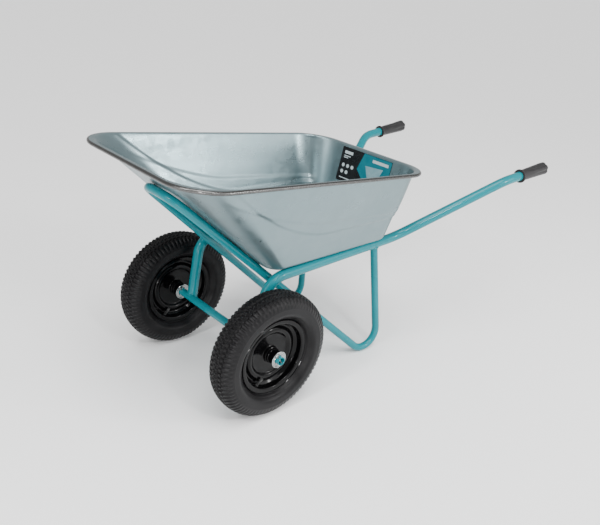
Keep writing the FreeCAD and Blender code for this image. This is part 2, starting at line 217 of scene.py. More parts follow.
def texture(nt, kind, scale, detail=None, rough=None, stretch=(1, 1, 1), distortion=None):
    """A procedural texture in the object's own coordinates."""
    coord = nt.nodes.new("ShaderNodeTexCoord")
    mapping = nt.nodes.new("ShaderNodeMapping")
    mapping.inputs["Scale"].default_value = stretch
    nt.links.new(coord.outputs["Object"], mapping.inputs["Vector"])
    node = nt.nodes.new(kind)
    node.inputs["Scale"].default_value = scale
    for socket, value in (("Detail", detail), ("Roughness", rough), ("Distortion", distortion)):
        if value is not None:
            node.inputs[socket].default_value = value
    nt.links.new(mapping.outputs["Vector"], node.inputs["Vector"])
    return node


BLACK_STOP, WHITE_STOP = (0, 0, 0), (1, 1, 1)


def ramp(nt, source, low, low_colour, high, high_colour):
    """Colour output that goes from one colour to another as the source goes from low to high."""
    node = nt.nodes.new("ShaderNodeValToRGB")
    stops = ((low, low_colour), (high, high_colour))
    for element, (position, colour) in zip(node.color_ramp.elements, stops):
        element.position = position
        element.color = (*colour, 1)
    nt.links.new(source, node.inputs["Fac"])
    return node.outputs["Color"]


def remap(nt, source, lo, hi, a=0.0, b=1.0):
    """The source's span a to b, spread over lo to hi."""
    node = nt.nodes.new("ShaderNodeMapRange")
    node.inputs["From Min"].default_value = a
    node.inputs["From Max"].default_value = b
    node.inputs["To Min"].default_value = lo
    node.inputs["To Max"].default_value = hi
    nt.links.new(source, node.inputs["Value"])
    return node.outputs["Result"]


MIX_A, MIX_B, MIX_RESULT = 6, 7, 2              # the colour sockets of a Mix node


def mix_colour(nt, factor, a, b):
    """Mix of two colours, each a value or another node's output."""
    node = nt.nodes.new("ShaderNodeMix")
    node.data_type = "RGBA"
    nt.links.new(factor, node.inputs["Factor"])
    for socket, value in ((node.inputs[MIX_A], a), (node.inputs[MIX_B], b)):
        if isinstance(value, tuple):
            socket.default_value = (*value, 1)
        else:
            nt.links.new(value, socket)
    return node.outputs[MIX_RESULT]


def bump(nt, height, strength, distance, after=None):
    """Normal output of a bump, laid over an earlier one if given."""
    node = nt.nodes.new("ShaderNodeBump")
    node.inputs["Strength"].default_value = strength
    node.inputs["Distance"].default_value = distance
    nt.links.new(height, node.inputs["Height"])
    if after is not None:
        nt.links.new(after, node.inputs["Normal"])
    return node.outputs["Normal"]


def paint(name, colour, dark, roughness, coat, peel=0.06, shine=0.3):
    """Enamel or powder coat: faint orange peel, dust-dulled patches and small dark specks."""
    m, nt, bsdf = new_material(name)
    broad = texture(nt, "ShaderNodeTexNoise", 9, 4, 0.55)
    fine = texture(nt, "ShaderNodeTexNoise", 900, 2, 0.5)
    specks = texture(nt, "ShaderNodeTexNoise", 260, 3, 0.6)
    patch = ramp(nt, broad.outputs["Fac"], 0.35, BLACK_STOP, 0.7, WHITE_STOP)
    spot = ramp(nt, specks.outputs["Fac"], 0.70, BLACK_STOP, 0.76, WHITE_STOP)
    base = mix_colour(nt, patch, colour, tuple(0.90 * c for c in colour))
    speckled = mix_colour(nt, remap(nt, spot, 0, 0.35), base, dark)
    dulled = remap(nt, broad.outputs["Fac"], roughness * 0.8, roughness * 1.35, 0.3, 0.7)
    nt.links.new(speckled, bsdf.inputs["Base Color"])
    nt.links.new(dulled, bsdf.inputs["Roughness"])
    nt.links.new(bump(nt, fine.outputs["Fac"], peel, 0.0004), bsdf.inputs["Normal"])
    bsdf.inputs["Specular IOR Level"].default_value = shine
    bsdf.inputs["Coat Weight"].default_value = coat
    bsdf.inputs["Coat Roughness"].default_value = 0.05
    return m


def galvanised():
    """Zinc-dipped pressed sheet: large pale crystals, rolling lines, soft stains and handling scuffs."""
    m, nt, bsdf = new_material("galvanised_sheet")
    bsdf.inputs["Metallic"].default_value = 0.82
    crystals = texture(nt, "ShaderNodeTexVoronoi", 42)
    crystals.inputs["Randomness"].default_value = 1.0
    broad = texture(nt, "ShaderNodeTexNoise", 3.2, 5, 0.55, distortion=0.4)
    rolled = texture(nt, "ShaderNodeTexNoise", 26, 4, 0.6, stretch=(0.12, 1.0, 1.0))
    stains = texture(nt, "ShaderNodeTexNoise", 11, 6, 0.65)
    fine = texture(nt, "ShaderNodeTexNoise", 420, 3, 0.5)
    cell = nt.nodes.new("ShaderNodeSeparateColor")
    nt.links.new(crystals.outputs["Color"], cell.inputs["Color"])
    tone = ramp(nt, broad.outputs["Fac"], 0.25, (0.170, 0.240, 0.258), 0.75, (0.220, 0.290, 0.308))
    crystal = mix_colour(nt, remap(nt, cell.outputs["Red"], 0.0, 0.10), tone, (0.140, 0.195, 0.210))
    stain = ramp(nt, stains.outputs["Fac"], 0.52, BLACK_STOP, 0.75, WHITE_STOP)
    stained = mix_colour(nt, remap(nt, stain, 0, 0.16), crystal, (0.115, 0.150, 0.160))
    nt.links.new(stained, bsdf.inputs["Base Color"])
    mixed = nt.nodes.new("ShaderNodeMath")
    mixed.operation = "ADD"
    nt.links.new(remap(nt, rolled.outputs["Fac"], 0.0, 0.10, 0.3, 0.7), mixed.inputs[0])
    nt.links.new(remap(nt, cell.outputs["Green"], 0.24, 0.31), mixed.inputs[1])
    nt.links.new(mixed.outputs[0], bsdf.inputs["Roughness"])
    first = bump(nt, rolled.outputs["Fac"], 0.10, 0.0006)
    nt.links.new(bump(nt, fine.outputs["Fac"], 0.05, 0.0003, first), bsdf.inputs["Normal"])
    return m


def plated(name, colour, roughness):
    """Zinc plate: slight colour drift, rubbed patches, turning marks."""
    m, nt, bsdf = new_material(name)
    bsdf.inputs["Metallic"].default_value = 1.0
    broad = texture(nt, "ShaderNodeTexNoise", 60, 4, 0.6)
    fine = texture(nt, "ShaderNodeTexNoise", 700, 3, 0.5, stretch=(1, 0.15, 1))
    drift = remap(nt, broad.outputs["Fac"], 0, 1, 0.3, 0.7)
    rubbed = remap(nt, broad.outputs["Fac"], roughness * 0.7, roughness * 1.4, 0.3, 0.7)
    nt.links.new(mix_colour(nt, drift, colour, tuple(0.72 * c for c in colour)), bsdf.inputs["Base Color"])
    nt.links.new(rubbed, bsdf.inputs["Roughness"])
    nt.links.new(bump(nt, fine.outputs["Fac"], 0.15, 0.0003), bsdf.inputs["Normal"])
    return m


def polymer(name, colour, light, roughness, grain, strength, dust=0.25, blotch=18, shine=0.3):
    """Rubber or plastic: pale dust in patches, moulding grain."""
    m, nt, bsdf = new_material(name)
    broad = texture(nt, "ShaderNodeTexNoise", blotch, 5, 0.65)
    fine = texture(nt, "ShaderNodeTexNoise", grain, 4, 0.6)
    patch = ramp(nt, broad.outputs["Fac"], 0.40, BLACK_STOP, 0.72, WHITE_STOP)
    worn = remap(nt, broad.outputs["Fac"], roughness * 0.85, roughness * 1.2, 0.3, 0.7)
    nt.links.new(mix_colour(nt, remap(nt, patch, 0, dust), colour, light), bsdf.inputs["Base Color"])
    nt.links.new(worn, bsdf.inputs["Roughness"])
    nt.links.new(bump(nt, fine.outputs["Fac"], strength, 0.0006), bsdf.inputs["Normal"])
    bsdf.inputs["Specular IOR Level"].default_value = shine
    return m


TEAL = paint("frame_paint", (0.0, 0.165, 0.195), (0.0, 0.08, 0.097), 0.24, 0.30, shine=0.12)
BLACK = paint("rim_paint", (0.0016, 0.0016, 0.0019), (0.006, 0.006, 0.006), 0.17, 0.14, peel=0.10, shine=0.08)
ZINC_SHEET = galvanised()
ZINC = plated("zinc", (0.40, 0.42, 0.42), 0.20)
# The rolled bead is coloured darker than the sheet: painted shade for the dark lines along the bead.
ROLLED_PAINTED_SHADE = plated("rolled_rim_painted_shade", (0.125, 0.124, 0.122), 0.26)
WIRE = plated("steel_wire", (0.42, 0.43, 0.44), 0.4)
RUBBER = polymer("tyre_rubber", (0.0035, 0.0033, 0.0038), (0.017, 0.0163, 0.0172), 0.40, 520, 0.35, 0.36,
                 shine=0.16)
TUBE_RUBBER = polymer("inner_tube_rubber", (0.02, 0.02, 0.02), (0.04, 0.04, 0.04), 0.5, 300, 0.2)
GRIP = polymer("grip_plastic", (0.012, 0.0115, 0.0125), (0.035, 0.033, 0.035), 0.40, 700, 0.30, 0.35, 60)
BUSH = polymer("bush_plastic", (0.03, 0.03, 0.03), (0.05, 0.05, 0.05), 0.4, 300, 0.1)
VALVE = polymer("valve_rubber", (0.02, 0.02, 0.02), (0.05, 0.05, 0.05), 0.45, 500, 0.2)
LABEL_BLACK = polymer("label_black", (0.006, 0.006, 0.007), (0.02, 0.02, 0.02), 0.28, 900, 0.05, 0.3, 30)
LABEL_TEAL = polymer("label_teal", (0.0, 0.13, 0.17), (0.01, 0.20, 0.24), 0.30, 900, 0.05, 0.5, 25)
LABEL_GREY = polymer("label_grey", (0.16, 0.30, 0.34), (0.30, 0.42, 0.45), 0.30, 900, 0.05, 0.6, 40)
LABEL_WHITE = polymer("label_white", (0.45, 0.52, 0.54), (0.55, 0.6, 0.6), 0.32, 900, 0.05, 0.3, 40)
CAP = polymer("cap_plastic", (0.03, 0.03, 0.03), (0.06, 0.06, 0.06), 0.3, 500, 0.1)

by_slot = {
    "frame_paint": TEAL, "galvanised_sheet": ZINC_SHEET, "steel_wire": WIRE, "zinc": ZINC,
    "label": LABEL_BLACK, "grip_plastic": GRIP, "tyre_rubber": RUBBER, "inner_tube_rubber": TUBE_RUBBER,
    "rim_paint": BLACK, "hub_paint": BLACK, "bush_plastic": BUSH, "valve_rubber": VALVE, "cap_plastic": CAP}
for part in frame["record"]["subparts"]:
    node = frame["nodes"][part["node"]]
    node.data.materials.clear()
    node.data.materials.append(by_slot[part["material_slot"]])


# ---------------------------------------------------------------- frame tubes
def mirrored(p):
    """The same point on the barrow's other side."""
    return p * v(1, -1, 1)


def handle_points(side):
    """Corners of a handle tube's centre line, from the axle to the end of its grip."""
    corners = [(STRUT_FOOT_X, STRUT_FOOT_Y, AXLE_Z), (LEVEL_FRONT_X, LEVEL_FRONT_Y, LEVEL_Z),
               (LEVEL_REAR_X, LEVEL_REAR_Y, LEVEL_Z), UPPER_BEND, GRIP_END]
    return [v(x, side * y, z) for x, y, z in corners]


def handle_y(x):
    """How far a handle's level run is from the middle plane."""
    return LEVEL_FRONT_Y + (LEVEL_REAR_Y - LEVEL_FRONT_Y) * (LEVEL_FRONT_X - x) / LEVEL_LENGTH


def foot_corner_z():
    """Height of the sharp corner whose rounding lets the foot just touch the ground, found step by step."""
    z = -FOOT_BEND
    for _ in range(30):
        leg = unit(v(LEG_TOP_X - FOOT_X, handle_y(LEG_TOP_X) - FOOT_Y, LEVEL_Z - z))
        arm = unit(v(NOSE_X - FOOT_X, NOSE_Y - FOOT_Y, NOSE_Z - z))
        half = 0.5 * math.acos(leg @ arm)
        rise = unit(leg + arm)[2] * FOOT_BEND / math.sin(half)
        z = LOOP_RADIUS + FOOT_BEND * math.sqrt(1 - unit(np.cross(leg, arm))[2] ** 2) - rise
    return z


LOOP_HALF = [v(LEG_TOP_X, handle_y(LEG_TOP_X), LEVEL_Z), v(FOOT_X, FOOT_Y, foot_corner_z()),
             v(NOSE_X, NOSE_Y, NOSE_Z)]
LOOP = LOOP_HALF + [mirrored(p) for p in reversed(LOOP_HALF)]
WELD_SIZE, WELD_SAMPLES, WELD_RIPPLES = 0.0026, 150, 26
TUBE_END_SETBACK = 0.006                        # a handle tube stops short of its grip's end


def weld(foot, axis, radius, big_point, big_axis, big_radius, seed):
    """Rippled weld bead round a tube's end, where it lands on another tube."""
    axis, big_axis = unit(axis), unit(big_axis)
    a = unit(np.cross(axis, big_axis))
    b = np.cross(axis, a)
    d = axis - (axis @ big_axis) * big_axis
    ring, radii = [], []
    for k in range(WELD_SAMPLES):
        w = 2 * math.pi * k / WELD_SAMPLES
        start = foot + radius * (math.cos(w) * a + math.sin(w) * b)
        m = start - big_point
        m = m - (m @ big_axis) * big_axis
        q = (m @ d) ** 2 - (d @ d) * (m @ m - big_radius ** 2)
        t = (-(m @ d) + math.sqrt(max(q, 0.0))) / (d @ d)
        ring.append(start + axis * t)
        ripple = 0.16 * math.sin(WELD_RIPPLES * w + seed) + 0.08 * math.sin(0.31 * k + seed)
        radii.append(WELD_SIZE * (1 + ripple))
    return bar(np.array(ring), WELD_SIZE, 10, closed=True, radii=radii)


for name, side in SIDES:
    points = handle_points(side)
    points[-1] = points[-1] - unit(points[-1] - points[-2]) * TUBE_END_SETBACK
    path = rounded_path(points, HANDLE_BENDS)
    on_axle = v(AXLE_X, side * STRUT_FOOT_Y, AXLE_Z)
    strut = weld(points[0], points[1] - points[0], HANDLE_RADIUS, on_axle, v(0, 1, 0), AXLE_RADIUS, seed=side)
    leg_top, foot = [p * v(1, side, 1) for p in LOOP_HALF[:2]]
    level = v(LEVEL_LENGTH, side * (LEVEL_FRONT_Y - LEVEL_REAR_Y), 0)
    under = weld(leg_top, foot - leg_top, LOOP_RADIUS, leg_top, level, HANDLE_RADIUS, seed=2 + side)
    welded = join(bar(path, HANDLE_RADIUS, 56), strut, under)
    tube = add_mesh("handle_tube_" + name + "_look", *welded, TEAL, "frame", "frame_paint")
    auto_sharp(tube, 50)
    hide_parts("handle_tube_" + name)

loop_path = rounded_path(LOOP, [FOOT_BEND, NOSE_BEND, NOSE_BEND, FOOT_BEND])
loop = add_mesh("leg_loop_look", *bar(loop_path, LOOP_RADIUS, 48), TEAL, "frame", "frame_paint")
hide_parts("leg_loop_tube")


# ---------------------------------------------------------------- tray
RIM_RUN, RIM_RISE = 0.910, 0.100
RIM_TILT = math.atan2(RIM_RISE, RIM_RUN)
RIM_LENGTH = math.hypot(RIM_RUN, RIM_RISE)
RIM_BACK = v(-0.1745, 0, 0.6285)
RIM_FRONT_HALF, RIM_REAR_HALF = 0.2925, 0.2635
ALONG_RIM = v(math.cos(RIM_TILT), 0, math.sin(RIM_TILT))
OFF_RIM = v(-math.sin(RIM_TILT), 0, math.cos(RIM_TILT))
BEAD_RADIUS = 0.0045
FLOOR_REAR_X = -0.111
FLOOR_FRONT_HALF, FLOOR_REAR_HALF = 0.176, 0.184
FLOOR_FRONT_CORNER, FLOOR_REAR_CORNER = 0.044, 0.055
FILLET_RUN = 0.018 * 0.744                      # from the bend's sharp corner to where it starts
FILLET_ROWS, FILLET_WEIGHT = 10, 0.80           # the weight makes the bend look circular
WALL_ROWS = 54
STRAIGHT_STEPS = [110, 56, 110, 50]
CORNER_STEPS = 26
FIRST_STEP, SECOND_STEP = 0.0034, 0.0022        # how far the side panel's two steps are pressed


def outline(front, rear, front_half, rear_half, front_corner, rear_corner):
    """Rounded four-sided loop of (x, y) samples from the front left corner; the counts never change."""
    corners = [(v(front, front_half), front_corner), (v(rear, rear_half), rear_corner),
               (v(rear, -rear_half), rear_corner), (v(front, -front_half), front_corner)]
    arcs = []
    for i, (p, r) in enumerate(corners):
        arcs.append(corner_arc(corners[i - 1][0], p, corners[(i + 1) % 4][0], r, CORNER_STEPS))
    samples = []
    for i, steps in enumerate(STRAIGHT_STEPS):
        a, b = arcs[i][-1], arcs[(i + 1) % 4][0]
        samples += arcs[i] + [a + (b - a) * k / steps for k in range(1, steps)]
    return np.array(samples)


def rim_loop(inset, front_corner, rear_corner, rise):
    """Loop in the rim's tilted plane, inset from the wire's line and lifted off the plane."""
    flat = outline(RIM_LENGTH - inset, inset, RIM_FRONT_HALF - inset, RIM_REAR_HALF - inset,
                   front_corner, rear_corner)
    return np.array([RIM_BACK + ALONG_RIM * x + v(0, y, 0) + OFF_RIM * rise for x, y in flat])


def floor_front():
    """Where the floor's front edge meets the leg loop's sloping run."""
    slope = (NOSE_Z - foot_corner_z()) / (NOSE_X - FOOT_X)
    n = unit(v(-slope, 0, 1))
    return NOSE_X + (n[2] * (FLOOR_Z - NOSE_Z) - LOOP_RADIUS) / -n[0]


FLOOR_FRONT_X = floor_front()


def floor_loop(inset):
    """Loop on the tray's floor, inset from its edge."""
    flat = outline(FLOOR_FRONT_X - inset, FLOOR_REAR_X + inset, FLOOR_FRONT_HALF - inset,
                   FLOOR_REAR_HALF - inset, FLOOR_FRONT_CORNER - inset, FLOOR_REAR_CORNER - inset)
    return np.array([v(x, y, FLOOR_Z) for x, y in flat])


def smoothstep(a, b, x):
    """0 at a, 1 at b, with a soft start and end."""
    t = np.clip((x - a) / (b - a), 0, 1)
    return t * t * (3 - 2 * t)


def panel_relief(p):
    """How far the side wall is pressed out at a point: a long smile-shaped panel with a second step in it."""
    x, _, z = p
    outer = 0.4875 + 0.035 * x + 1.023 * max(0.0, x - 0.200) ** 1.79
    inner = 0.512 + 0.12 * x + 0.47 * max(0.0, x - 0.260) ** 1.6
    top = RIM_BACK[2] + 0.11 * (x - RIM_BACK[0])
    first = float(smoothstep(-0.004, 0.007, z - outer))
    second = float(smoothstep(-0.003, 0.006, z - inner))
    fade = float(smoothstep(0.004, 0.090, top - z))
    return FIRST_STEP * first + SECOND_STEP * second * fade


def bead_rings():
    """The rolled bead: three quarters of a circle round the wire, from its top out, down and back in."""
    centre = rim_loop(0.0, 0.114, 0.104, 0.0)
    along = np.roll(centre, -1, axis=0) - np.roll(centre, 1, axis=0)
    out = np.array([unit(np.cross(t, OFF_RIM)) for t in along])
    if out[0] @ (centre[0] - centre.mean(0)) < 0:
        out = -out
    turns = np.radians(np.arange(90, -196, -13))
    return [centre + BEAD_RADIUS * (math.cos(w) * out + math.sin(w) * OFF_RIM) for w in turns]


def tray_rings():
    """Matching loops: over the floor, round its bend, up the wall, across the lip and round the bead."""
    foot, flat = floor_loop(0.0), floor_loop(FILLET_RUN)
    top_wall = rim_loop(0.010, 0.120, 0.118, BEAD_RADIUS)
    middle = np.array([v(np.clip(p[0], 0.02, 0.26), 0, FLOOR_Z) for p in foot])
    rings = [middle + (flat - middle) * (0.02 + 0.98 * s) for s in (0.0, 0.25, 0.5, 0.7, 0.85, 0.95)]
    bend_low = foot + FILLET_RUN * np.array([unit(f - g) for f, g in zip(flat, foot)])
    bend_high = foot + FILLET_RUN * np.array([unit(t - f) for t, f in zip(top_wall, foot)])
    for k in range(FILLET_ROWS + 1):
        w = k / FILLET_ROWS
        low, corner, high = (1 - w) ** 2, 2 * w * (1 - w) * FILLET_WEIGHT, w ** 2
        rings.append((bend_low * low + foot * corner + bend_high * high) / (low + corner + high))
    first_wall = len(rings)
    rings += [bend_high + (top_wall - bend_high) * 0.994 * k / WALL_ROWS for k in range(1, WALL_ROWS + 1)]
    lip_in = rim_loop(0.0085, 0.1185, 0.1165, BEAD_RADIUS)
    lip_out = rim_loop(0.0045, 0.1165, 0.108, BEAD_RADIUS)
    rings += [top_wall * 0.35 + lip_in * 0.65 - OFF_RIM * 0.0004, lip_in, lip_out]
    first_bead = len(rings)
    return np.array(rings + bead_rings()), first_wall, first_bead


def sheet_normals(rings, wall_row):
    """Outward normal of every sample, from the grid itself."""
    du = np.roll(rings, -1, axis=1) - np.roll(rings, 1, axis=1)
    dv = np.zeros_like(rings)
    dv[1:-1] = rings[2:] - rings[:-2]
    dv[0], dv[-1] = rings[1] - rings[0], rings[-1] - rings[-2]
    normal = np.cross(du, dv)
    normal /= np.maximum(np.linalg.norm(normal, axis=2, keepdims=True), 1e-12)
    sample = rings[wall_row, 10]
    away = sample - v(rings[..., 0].mean(), 0, sample[2])
    return -normal if normal[wall_row, 10] @ away < 0 else normal


def build_tray():
    """Both skins of the sheet, with the panels pressed out of its side walls and its edges closed."""
    rings, first_wall, first_bead = tray_rings()
    rows, n = rings.shape[:2]
    normal = sheet_normals(rings, first_wall + 20)
    outer = rings.copy()
    for r in range(first_wall, first_wall + WALL_ROWS):
        for i in range(n):
            on_side = float(smoothstep(0.6, 0.85, abs(normal[r, i][1])))
            outer[r, i] += normal[r, i] * panel_relief(rings[r, i]) * on_side
    # the lip's inner edge follows the pressed wall
    top_row = first_wall + WALL_ROWS - 1
    for r in (top_row + 1, top_row + 2):
        outer[r, :, 1] += outer[top_row, :, 1] - rings[top_row, :, 1]
    inner = outer - normal * SHEET
    verts = list(outer.reshape(-1, 3)) + list(inner.reshape(-1, 3))
    faces = grid_faces(rows, n, wrap_cols=True)
    faces += grid_faces(rows, n, wrap_cols=True, start=rows * n, flip=True)
    last = (rows - 1) * n
    for j in range(n):
        k = (j + 1) % n
        faces.append((last + j, rows * n + last + j, rows * n + last + k, last + k))
        faces.append((j, k, rows * n + k, rows * n + j))
    # the floor's middle strip closes both skins
    faces.append(tuple(range(n)))
    faces.append(tuple(rows * n + i for i in reversed(range(n))))
    return verts, faces, rows, n, first_bead


tray_verts, tray_faces, tray_rows, tray_around, first_bead = build_tray()
tray = add_mesh("tray_look", tray_verts, tray_faces, ZINC_SHEET, "frame", "galvanised_sheet")
# The bead's rows take the darker bead colour, which is painted shade along the rolled bead.
tray.data.materials.append(ROLLED_PAINTED_SHADE)
for polygon in tray.data.polygons:
    row = polygon.vertices[0] // tray_around
    if row % tray_rows >= first_bead:
        polygon.material_index = 1
auto_sharp(tray, 60)
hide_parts("tray")


# ---------------------------------------------------------------- wheels: (y, r) lines in millimetres
PITCHES, PER_PITCH = 80, 10                     # tread blocks round a tyre, and samples for each
INNER_GROOVE, OUTER_GROOVE = 12.0, 24.0
RIM_SAMPLES = 300
BEAD_SEAT = 101.9

TYRE_HALF = [(24.2, 110.0), (25.8, 117.2), (33.0, 122.5), (44.0, 134.0), (46.0, 148.0), (44.5, 163.0),
             (38.0, 177.0), (26.0, 186.0), (0.0, 190.0)]
TYRE_INSIDE_HALF = [(18.2, 110.0), (19.5, 118.5), (29.0, 126.0), (38.0, 137.0), (40.0, 148.0),
                    (38.5, 161.0), (20.0, 177.0), (0.0, 179.0)]
RIM_LINE = [(28.6, 113.4), (27.4, 114.6), (26.2, 112.6), (25.4, 103.8), (23.4, 101.0), (18.0, 100.7),
            (12.0, 100.7), (7.0, 99.1), (3.9, 95.1), (1.1, 91.0), (1.9, 86.0), (7.4, 80.0), (8.9, 74.0),
            (7.4, 68.0), (1.9, 62.0), (0.9, 56.0), (0.9, 40.0), (1.4, 28.0), (3.4, 23.6), (7.2, 21.2)]
HUB_HALF = [(0.0, 22.0), (3.0, 24.0), (4.0, 24.5), (10.5, 24.5), (12.0, 24.0), (12.8, 22.8), (19.0, 22.5),
            (20.0, 21.9), (20.8, 21.0), (38.8, 21.0), (39.8, 20.4), (40.0, 19.8), (40.0, 17.6), (39.6, 17.05)]
WASHER_PROFILE = [(0.0, 12.75), (0.0, 24.2), (0.6, 25.0), (1.7, 25.0), (2.5, 24.0), (2.5, 22.8),
                  (1.0, 21.2), (0.9, 18.6), (2.3, 17.4), (2.4, 15.6), (1.6, 14.6), (1.5, 12.75)]


def curve(points, per_span):
    """Smooth line through (y, r) points."""
    pts = [np.array(p, float) for p in points]
    pts = [2 * pts[0] - pts[1]] + pts + [2 * pts[-1] - pts[-2]]
    out = []
    for p0, p1, p2, p3 in zip(pts, pts[1:], pts[2:], pts[3:]):
        for k in range(per_span):
            t = k / per_span
            out.append(0.5 * (2 * p1 + (p2 - p0) * t + (2 * p0 - 5 * p1 + 4 * p2 - p3) * t * t
                              + (3 * p1 - p0 - 3 * p2 + p3) * t ** 3))
    out.append(pts[-2])
    return np.array(out)


def resample(line, spacing):
    """Even spacing along a line."""
    steps = np.linalg.norm(np.diff(line, axis=0), axis=1)
    s = np.concatenate([[0], np.cumsum(steps)])
    n = max(2, int(round(s[-1] / spacing)))
    at = np.linspace(0, s[-1], n + 1)
    return np.stack([np.interp(at, s, line[:, i]) for i in range(2)], axis=1)


def normals(line):
    """Unit normal at each sample of a (y, r) line."""
    d = np.gradient(line, axis=0)
    n = np.stack([-d[:, 1], d[:, 0]], axis=1)
    return n / np.linalg.norm(n, axis=1, keepdims=True)


def edge(x, half, soft):
    """1 inside a strip of a given half width, 0 outside."""
    return np.clip((half - np.abs(x)) / soft + 0.5, 0, 1)


def zigzag(u):
    """Triangle wave between -1 and 1, once per pitch."""
    f = u - np.floor(u)
    return 4 * np.abs(f - 0.5) - 1


def from_block_middle(u):
    """How far a place round the tyre is from the middle of its pitch."""
    return np.mod(u, 1.0) - 0.5


def hump(x, middle, width):
    """Smooth hump of height 1."""
    return np.exp(-((x - middle) / width) ** 2)


def tread_depth(y, r, u):
    """How deep the tread is cut, in mm, at a place across (y), out (r) and round (u, in pitches) the tyre."""
    a = np.abs(y)
    side = np.where(y > 0, 0.0, 0.5)
    groove = edge(y - 2.2 * zigzag(u), 1.3, 0.9)
    groove = np.maximum(groove, edge(a - INNER_GROOVE - 1.6 * zigzag(u + 0.25 + side), 1.2, 0.9))
    groove = np.maximum(groove, edge(a - OUTER_GROOVE - 1.2 * zigzag(u + 0.5 + side), 1.2, 0.9))
    lean = 0.018 * (a - INNER_GROOVE)
    inner_bar = edge(from_block_middle(u + lean + side), 0.17, 0.10)
    middle_bar = edge(from_block_middle(u + 0.5 - lean + side), 0.18, 0.10)
    outer_bar = edge(from_block_middle(u + side), 0.21, 0.10)
    cross = np.where(a < INNER_GROOVE, inner_bar, np.where(a < OUTER_GROOVE, middle_bar, outer_bar))
    offset = np.where(a < INNER_GROOVE, 0.5, 0.0)
    slit = edge(from_block_middle(u + lean + side + offset), 0.05, 0.08)
    sipe = np.where(a < OUTER_GROOVE, 0.45 * slit, 0)
    groove = np.maximum(groove, np.maximum(cross, sipe))
    crown = np.clip((r - 168.0) / 16.0, 0, 1)
    fade = np.clip((r - 158.0) / 6.0, 0, 1)
    return groove * (0.9 + 2.9 * crown) * fade


def tyre_mesh():
    """Hollow tyre with block tread, a ridge where the shoulder bars end and a fine line low on each side."""
    line = resample(curve(TYRE_HALF + [(-y, r) for y, r in reversed(TYRE_HALF[:-1])], 14), 1.35)
    out = -normals(line)
    if out[len(out) // 2][1] < 0:
        out = -out
    rings = 0.5 * hump(line[:, 1], 155.5, 1.3) - 0.3 * hump(line[:, 1], 124.5, 1.0)
    line = line + out * rings[:, None]
    inside = [(-y, r) for y, r in TYRE_INSIDE_HALF[:-1]] + TYRE_INSIDE_HALF[::-1]
    beads_right = np.array([(-24.2, 104.5), (-22.5, BEAD_SEAT), (-13.5, BEAD_SEAT)])
    beads_left = np.array([(13.5, BEAD_SEAT), (22.5, BEAD_SEAT), (24.2, 104.5)])
    profile = np.concatenate([line, beads_right, resample(curve(inside, 5), 14.0), beads_left])
    n_out = len(line)
    rounds = PITCHES * PER_PITCH
    u = np.arange(rounds) / PER_PITCH
    y = np.repeat(profile[None, :, 0], rounds, axis=0)
    r = np.repeat(profile[None, :, 1], rounds, axis=0)
    cut = tread_depth(y[:, :n_out], r[:, :n_out], u[:, None])
    y[:, :n_out] -= out[None, :, 0] * cut
    r[:, :n_out] -= out[None, :, 1] * cut
    w = 2 * np.pi * u / PITCHES
    pts = np.stack([r * np.sin(w)[:, None], y, -r * np.cos(w)[:, None]], axis=2) * MM
    return pts.reshape(-1, 3), grid_faces(rounds, len(profile), wrap_rows=True, wrap_cols=True)


def closed_line(line, thickness):
    """Closed profile of a sheet whose middle follows a line."""
    n = normals(line)
    return np.concatenate([line + n * thickness / 2, (line - n * thickness / 2)[::-1]])


def rim_mesh(end):
    """One pressed and enamelled rim half, with shallow pressed lobes between the bulge and the barrel."""
    profile = closed_line(resample(curve(RIM_LINE, 8), 1.6), 1.8)
    verts = []
    for k in range(RIM_SAMPLES):
        w = 2 * math.pi * k / RIM_SAMPLES
        lobe = 0.5 + 0.5 * math.cos(5 * w + 0.6)
        ripple = math.sin(10 * w)
        for y, r in profile:
            press = 1.3 * lobe * hump(r, 83.0, 6.5) + 0.35 * ripple * hump(r, 60.0, 5.0)
            verts.append((r * math.sin(w) * MM, end * (y - press) * MM, -r * math.cos(w) * MM))
    return np.array(verts), grid_faces(RIM_SAMPLES, len(profile), wrap_rows=True, wrap_cols=True)


def hub_mesh():
    """Hub tube with the welded spigots of both rim halves round it."""
    bore = [(20.0, 17.02), (-20.0, 17.02)]
    return revolved([(-y, r) for y, r in reversed(HUB_HALF[1:])] + HUB_HALF + bore, 96)


def place(mesh, y, flip=False):
    """Move a mesh onto the axle, facing the other way if flipped."""
    verts, faces = mesh
    verts = verts * v(1, -1, 1) if flip else verts
    faces = [f[::-1] for f in faces] if flip else faces
    return verts + v(AXLE_X, y, AXLE_Z), faces


WHEEL_PARTS = (("tyre", tyre_mesh(), RUBBER, "tyre_rubber", 38),
               ("rim_valve_half", rim_mesh(1), BLACK, "rim_paint", 70),
               ("rim_plain_half", rim_mesh(-1), BLACK, "rim_paint", 70),
               ("hub", hub_mesh(), BLACK, "hub_paint", 35))
for name, side in SIDES:
    body, y = "wheel_" + name, side * TRACK / 2
    for part, mesh, material, slot, sharp in WHEEL_PARTS:
        obj = add_mesh(body + "_" + part + "_look", *place(mesh, y), material, body, slot)
        auto_sharp(obj, sharp)
        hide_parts(body + "_" + part)


# ---------------------------------------------------------------- axle fittings
PIN_DOWN = unit(v(-0.514, 0, -0.857))
PIN_SIDE = unit(np.cross(PIN_DOWN, v(0, 1, 0)))
PIN_FROM_WASHER, PIN_WIRE_RADIUS, PIN_BEND = 0.0055, 0.00115, 0.0022
SHORTEST_STEP = 0.0004


